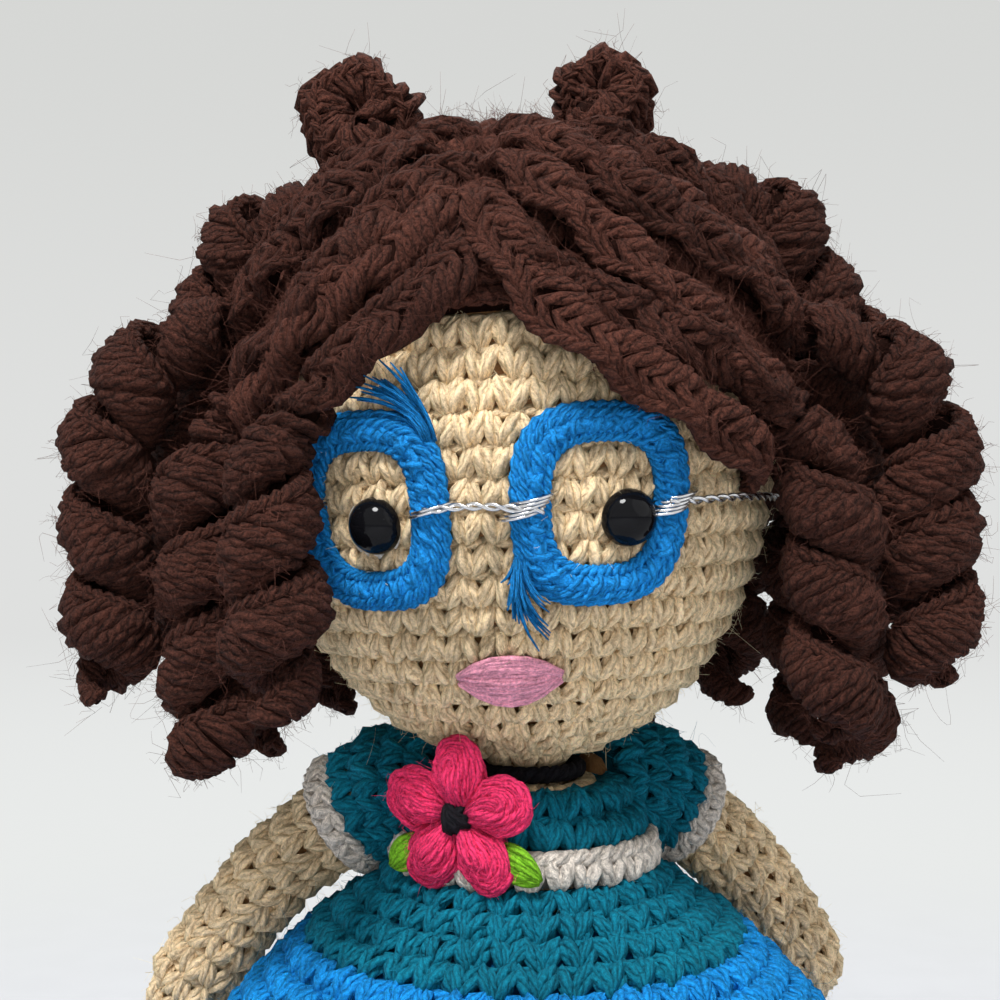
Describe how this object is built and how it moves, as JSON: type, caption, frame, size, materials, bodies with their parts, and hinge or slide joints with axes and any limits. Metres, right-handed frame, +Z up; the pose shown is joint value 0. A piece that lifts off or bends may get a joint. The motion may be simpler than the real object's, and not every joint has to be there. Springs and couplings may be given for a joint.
{
  "type": "amigurumi doll",
  "caption": "Crocheted stuffed doll with corkscrew hair, wire-bridged yarn spectacles, puffed sleeves and a bell skirt that it stands on.",
  "frame": {"origin": "centre of the doll's footprint, at the surface that the skirt's hem stands on", "axes": "+Z up, the doll faces -Y and its left hand is towards +X"},
  "size_m": [0.1484, 0.1484, 0.2158],
  "materials": {
    "brown_yarn": "matt crocheted acrylic yarn, dark brown",
    "tan_yarn": "matt crocheted acrylic yarn, tan",
    "stuffing": "loose white polyester fibre",
    "eye_plastic": "high gloss black",
    "washer_plastic": "satin white",
    "white_felt": "matt felt",
    "rose_floss": "satin stitched floss, rose with a lighter patch",
    "azure_yarn": "matt crocheted acrylic yarn, azure",
    "teal_yarn": "matt crocheted acrylic yarn, teal",
    "cream_yarn": "matt crocheted acrylic yarn, cream",
    "black_yarn": "matt crocheted acrylic yarn, black",
    "pink_yarn": "looped acrylic yarn, hot pink",
    "green_yarn": "matt crocheted acrylic yarn, green",
    "wire": "bright thin wire",
    "dowel_wood": "plain"
  },
  "bodies": {
    "torso": {"torso_shell": "tan_yarn", "torso_stuffing": "stuffing", "bodice": "teal_yarn", "waistband": "cream_yarn", "skirt_yoke": "teal_yarn", "skirt_flare": "azure_yarn", "collar": "black_yarn", "flower_petals": "pink_yarn", "flower_button": "black_yarn", "flower_leaf_right": "green_yarn", "flower_leaf_left": "green_yarn"},
    "neck": {"neck_tube": "tan_yarn", "neck_dowel": "dowel_wood"},
    "head": {"head_shell": "tan_yarn", "head_stuffing": "stuffing", "eye_right": "eye_plastic", "eye_left": "eye_plastic", "eye_washer_right": "washer_plastic", "eye_washer_left": "washer_plastic", "eye_felt_right": "white_felt", "mouth_stitches": "rose_floss", "wig_cap": "brown_yarn", "curl_1": "brown_yarn", "curl_2": "brown_yarn", "curl_3": "brown_yarn", "curl_4": "brown_yarn", "curl_5": "brown_yarn", "curl_6": "brown_yarn", "curl_7": "brown_yarn", "curl_8": "brown_yarn", "curl_9": "brown_yarn", "curl_10": "brown_yarn", "curl_11": "brown_yarn", "curl_12": "brown_yarn", "outer_curl_1": "brown_yarn", "outer_curl_2": "brown_yarn", "outer_curl_3": "brown_yarn", "outer_curl_4": "brown_yarn", "outer_curl_5": "brown_yarn", "outer_curl_6": "brown_yarn", "crown_curl_right": "brown_yarn", "crown_curl_left": "brown_yarn", "spectacle_ring_right": "azure_yarn", "spectacle_ring_left": "azure_yarn", "bridge_wire": "wire", "temple_wire_right": "wire", "temple_wire_left": "wire", "ring_tail_right": "azure_yarn", "ring_tail_left": "azure_yarn"},
    "arm_right": {"arm_right": "tan_yarn", "sleeve_right": "teal_yarn", "cuff_right": "cream_yarn"},
    "arm_left": {"arm_left": "tan_yarn", "sleeve_left": "teal_yarn", "cuff_left": "cream_yarn"},
    "leg_right": {"leg_right": "tan_yarn", "shoe_right": "black_yarn"},
    "leg_left": {"leg_left": "tan_yarn", "shoe_left": "black_yarn"}
  },
  "joints": [
    {"name": "neck_turn", "type": "hinge", "parent": "torso", "child": "neck", "pos_m": [0, 0, 0.1067], "axis": [0, 0, 1], "range_deg": [-25, 25]},
    {"name": "head_nod", "type": "hinge", "parent": "neck", "child": "head", "pos_m": [0, 0, 0.1067], "axis": [1, 0, 0], "range_deg": [-8, 8]},
    {"name": "arm_right_swing", "type": "hinge", "parent": "torso", "child": "arm_right", "pos_m": [-0.01634, 0.00469, 0.0952], "axis": [0.9613, -0.2756, 0], "range_deg": [-60, 30]},
    {"name": "arm_left_swing", "type": "hinge", "parent": "torso", "child": "arm_left", "pos_m": [0.01442, 0.00901, 0.0952], "axis": [0.848, 0.5299, 0], "range_deg": [-60, 30]},
    {"name": "leg_right_swing", "type": "hinge", "parent": "torso", "child": "leg_right", "pos_m": [-0.00975, 0, 0.04885], "axis": [1, 0, 0], "range_deg": [-35, 25]},
    {"name": "leg_left_swing", "type": "hinge", "parent": "torso", "child": "leg_left", "pos_m": [0.00975, 0, 0.04885], "axis": [1, 0, 0], "range_deg": [-35, 25]}
  ]
}
